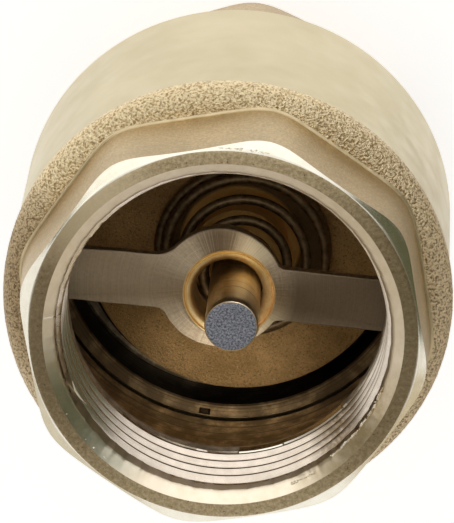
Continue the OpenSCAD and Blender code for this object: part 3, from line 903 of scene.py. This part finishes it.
stem_la = Lathe(ROUND, (STEM_X, 0))
stem_la.ring(0.0005, STEM_END_Z)
stem_la.path([(STEM_R - 0.3, STEM_END_Z)], 1, 3)
stem_la.path([(STEM_R, STEM_END_Z + 0.3)], 0, 1)
stem_la.path([(STEM_R, HUB_BACK_Z - 8.6)], 0, 6)
stem_la.path([(STEM_R + STEM_SWELL, HUB_BACK_Z + 2)], 0, 4)
stem_la.path([(STEM_R + STEM_SWELL, STEM_TOP_Z - 0.14)], 0, 8)
stem_la.path([(STEM_R + 0.06, STEM_TOP_Z - 0.03), (STEM_R - 0.04, STEM_TOP_Z)], 0, 1)
stem_la.path([(0.0005, STEM_TOP_Z)], 1, 4)
stem = stem_la.build("stem_rod", [M_STEM, M_STEM_END])
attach(stem, "poppet")
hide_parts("stem")


def hex_nut():
    """Lock nut with its two chamfers, on the stem."""
    la = Lathe(ROUND, (STEM_X, 0))
    span = math.radians(60)
    off = (la.theta + span / 2) % span - span / 2
    flat = 5.0 / np.cos(off)
    la.ring(STEM_R, NUT_Z)
    la.path([(STEM_R, WASHER_Z)], 0, 2)
    cone = 5.1
    drop = np.clip((flat - cone) * 0.577, 0, 1)
    la.ring(np.minimum(flat, cone), WASHER_Z, 0)
    la.ring(flat, WASHER_Z - drop, 0)
    la.ring(flat, NUT_Z + drop, 0)
    la.ring(np.minimum(flat, cone), NUT_Z, 0)
    la.path([(STEM_R, NUT_Z)], 0, 2)
    return la.build("lock_nut", [M_STEM])


nut = hex_nut()
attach(nut, "poppet")
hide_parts("stem_nut")


# ---------------------------------------------------------------- return spring
SPRING_LOW_X, SPRING_LOW_Y, SPRING_LOW_R = -1.24, 0.55, 10.75
COIL_STEPS = ((-1.0, 0.0), (-0.75, 0.0), (0.25, 2.6), (1.25, 4.3), (2.25, 6.0), (2.9, 7.6), (3.9, 11.3),
              (4.7, 12.0))


def spring():
    """Conical wire: wide turns that lie close together, then narrow turns up to the hub."""
    per_turn, sides = 72, 16
    first, last = COIL_STEPS[0][0], COIL_STEPS[-1][0]
    count = int((last - first) * per_turn)
    knots = np.array(COIL_STEPS)
    turns = np.linspace(first, last, count + 1)
    rise = np.interp(turns, knots[:, 0], knots[:, 1])
    rise = np.convolve(np.pad(rise, 24, "edge"), np.ones(49) / 49, "valid")
    low, high = SPRING_LOW_Z + WIRE_R, SPRING_HIGH_Z - WIRE_R
    rise = rise / rise.max() * (high - low)
    verts, faces = [], []
    for turn, up in zip(turns, rise):
        radius = max(SPRING_NARROW_R, SPRING_LOW_R - 2.32 * max(0.0, turn))
        share = min(1.0, up / (high - low) * 1.6)
        cx = SPRING_LOW_X + (STEM_X - SPRING_LOW_X) * share
        cy = SPRING_LOW_Y * (1 - share)
        a = TURN * turn + math.pi
        out = Vector((math.cos(a), math.sin(a), 0))
        c = Vector((cx, cy, low + up)) + out * radius
        for k in range(sides):
            b = TURN * k / sides
            verts.append(c + out * WIRE_R * math.cos(b) + Vector((0, 0, WIRE_R * math.sin(b))))
    for i in range(count):
        for k in range(sides):
            m = (k + 1) % sides
            faces.append((i * sides + k, i * sides + m, (i + 1) * sides + m, (i + 1) * sides + k))
    faces.append(tuple(range(sides)))
    faces.append(tuple(count * sides + k for k in range(sides)))
    return make_object("spring_coil", verts, faces, [0] * len(faces), [M_SPRING])


coil = spring()
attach(coil, "housing")
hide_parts("return_spring")
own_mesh(coil)


# ---------------------------------------------------------------- camera
IMAGE_W, IMAGE_H, FOCAL_PX = 454, 523, 3323.5
TILT, SWING, ROLL = math.radians(20.43), math.radians(6.24), math.radians(185.1)
DISTANCE = 0.3943
FACE_PX = (223.0, 337.3)
to_image = Matrix(((math.cos(ROLL), math.sin(ROLL), 0), (-math.sin(ROLL), math.cos(ROLL), 0), (0, 0, 1)))
back = Vector((math.sin(TILT) * math.sin(SWING), math.sin(TILT) * math.cos(SWING), math.cos(TILT)))
right = Vector((0, 1, 0)).cross(back).normalized()
up = back.cross(right)
look = Matrix((right, up, back))
aim = Vector(((FACE_PX[0] - IMAGE_W / 2) / FOCAL_PX, -(FACE_PX[1] - IMAGE_H / 2) / FOCAL_PX, -1)).normalized()
nudge = Vector((0, 0, -1)).rotation_difference(aim).to_matrix()
axes = nudge @ look @ to_image
face_centre = Vector((0, 0, LENGTH * MM))
camera_data = bpy.data.cameras.new("photo_camera")
camera_data.sensor_fit = "HORIZONTAL"
camera_data.sensor_width = 36.0
camera_data.lens = 36.0 * FOCAL_PX / IMAGE_W
camera_data.clip_start = 0.01
camera = bpy.data.objects.new("photo_camera", camera_data)
bpy.context.scene.collection.objects.link(camera)
camera.matrix_world = Matrix.Translation(face_centre + DISTANCE * (to_image.transposed() @ back)) @ (
    axes.transposed().to_4x4())
bpy.context.scene.camera = camera


# ---------------------------------------------------------------- studio
def seen_rays(nodes, links):
    """1 for camera, glossy and transmission rays."""
    path = nodes.new("ShaderNodeLightPath")
    first = nodes.new("ShaderNodeMath")
    first.operation = "MAXIMUM"
    links.new(path.outputs["Is Camera Ray"], first.inputs[0])
    links.new(path.outputs["Is Glossy Ray"], first.inputs[1])
    both = nodes.new("ShaderNodeMath")
    both.operation = "MAXIMUM"
    links.new(first.outputs[0], both.inputs[0])
    links.new(path.outputs["Is Transmission Ray"], both.inputs[1])
    return both.outputs[0]


def white_floor():
    mat = bpy.data.materials.new("studio_white")
    mat.use_nodes = True
    nodes, links = mat.node_tree.nodes, mat.node_tree.links
    bsdf = nodes["Principled BSDF"]
    bsdf.inputs["Base Color"].default_value = (0.86, 0.86, 0.85, 1)
    bsdf.inputs["Roughness"].default_value = 0.9
    glow = nodes.new("ShaderNodeEmission")
    glow.inputs["Color"].default_value = (1, 1, 1, 1)
    factor = nodes.new("ShaderNodeMath")
    factor.operation = "MULTIPLY"
    factor.inputs[1].default_value = 0.60
    links.new(seen_rays(nodes, links), factor.inputs[0])
    links.new(factor.outputs[0], glow.inputs["Strength"])
    add = nodes.new("ShaderNodeAddShader")
    links.new(bsdf.outputs[0], add.inputs[0])
    links.new(glow.outputs[0], add.inputs[1])
    links.new(add.outputs[0], nodes["Material Output"].inputs["Surface"])
    bpy.ops.mesh.primitive_plane_add(size=8.0, location=(0, 0, -0.00005))
    floor = bpy.context.object
    floor.name = "studio_floor"
    floor.data.materials.append(mat)


def flag(name, centre, size, facing, colour):
    """A studio panel that metal reflects and the camera doesn't see."""
    mat = bpy.data.materials.new(name)
    mat.use_nodes = True
    nodes, links = mat.node_tree.nodes, mat.node_tree.links
    glow = nodes.new("ShaderNodeEmission")
    glow.inputs["Color"].default_value = (*colour, 1)
    links.new(glow.outputs[0], nodes["Material Output"].inputs["Surface"])
    bpy.ops.mesh.primitive_plane_add(size=1.0, location=centre)
    panel = bpy.context.object
    panel.name = name
    panel.scale = (size[0], size[1], 1)
    panel.rotation_euler = Vector(facing).to_track_quat("Z", "Y").to_euler()
    panel.data.materials.append(mat)
    panel.visible_camera = False
    panel.visible_shadow = False
    panel.visible_diffuse = False


def softbox(name, centre, size, power, colour=(1, 1, 1)):
    light = bpy.data.lights.new(name, "AREA")
    light.shape = "RECTANGLE"
    light.size, light.size_y = size
    light.energy = power
    light.color = colour
    obj = bpy.data.objects.new(name, light)
    obj.location = centre
    obj.rotation_euler = (Vector((0, 0, 0.05)) - Vector(centre)).to_track_quat("-Z", "Y").to_euler()
    bpy.context.scene.collection.objects.link(obj)
    obj.visible_camera = False
    return obj


white_floor()
flag("ceiling_flag", (0.0, 0.35, 1.0), (1.8, 1.0), (0, -0.2, -1), (0.26, 0.235, 0.20))
flag("side_flag_left", (-0.5, -0.13, 0.42), (0.57, 0.86), (1, 0, 0), (0.088, 0.090, 0.048))
flag("side_flag_right", (0.5, -0.225, 0.22), (0.41, 0.42), (-1, 0, 0), (0.112, 0.108, 0.070))
flag("low_card_left", (0.50, 0.20, 0.10), (0.40, 0.24), (-0.9, -0.35, 0), (0.36, 0.33, 0.27))
flag("back_card_left", (0.33, 0.52, 0.20), (0.44, 0.36), (-0.53, -0.85, 0), (0.68, 0.64, 0.54))
flag("back_card_right", (-0.40, 0.36, 0.26), (0.30, 0.26), (0.65, -0.62, -0.25), (0.58, 0.50, 0.36))
flag("side_flag_low", (-0.5, -0.49, 0.16), (0.15, 0.32), (1, 0, 0), (0.090, 0.084, 0.050))
flag("low_card_right", (-0.5, 0.20, 0.05), (0.09, 0.10), (1, 0, 0), (0.26, 0.24, 0.20))
flag("floor_flag", (-0.13, 0.0, 0.001), (0.17, 0.3), (0, 0, 1), (0.50, 0.46, 0.40))
flag("left_card", (0.55, -0.30, 0.60), (0.34, 0.40), (-0.66, 0.36, -0.66), (1.26, 1.24, 1.18))
softbox("key_softbox", (0.12, -0.55, 0.62), (0.9, 0.55), 0.40, (1.0, 0.985, 0.95))

beam_data = bpy.data.lights.new("bore_beam", "SPOT")
beam_data.energy = 10.5
beam_data.spot_size = math.radians(1.5)
beam_data.spot_blend = 0.7
beam_data.shadow_soft_size = 0.004
beam_data.color = (1.0, 0.96, 0.90)
beam = bpy.data.objects.new("bore_beam", beam_data)
beam.location = (0.02, -0.28, 0.95)
beam.rotation_euler = (Vector((0, 0.0155, 0.035)) - beam.location).to_track_quat("-Z", "Y").to_euler()
bpy.context.scene.collection.objects.link(beam)

world = bpy.data.worlds.new("studio_world")
bpy.context.scene.world = world
world.use_nodes = True
w_nodes, w_links = world.node_tree.nodes, world.node_tree.links
w_back = w_nodes["Background"]
w_mix = w_nodes.new("ShaderNodeMix")
w_mix.data_type = "RGBA"
w_mix.inputs[6].default_value = (0.5, 0.495, 0.485, 1)
w_mix.inputs[7].default_value = (1, 1, 1, 1)
w_links.new(seen_rays(w_nodes, w_links), w_mix.inputs["Factor"])
w_links.new(w_mix.outputs[2], w_back.inputs["Color"])
w_back.inputs["Strength"].default_value = 1.0

bpy.context.scene.view_settings.view_transform = "Standard"
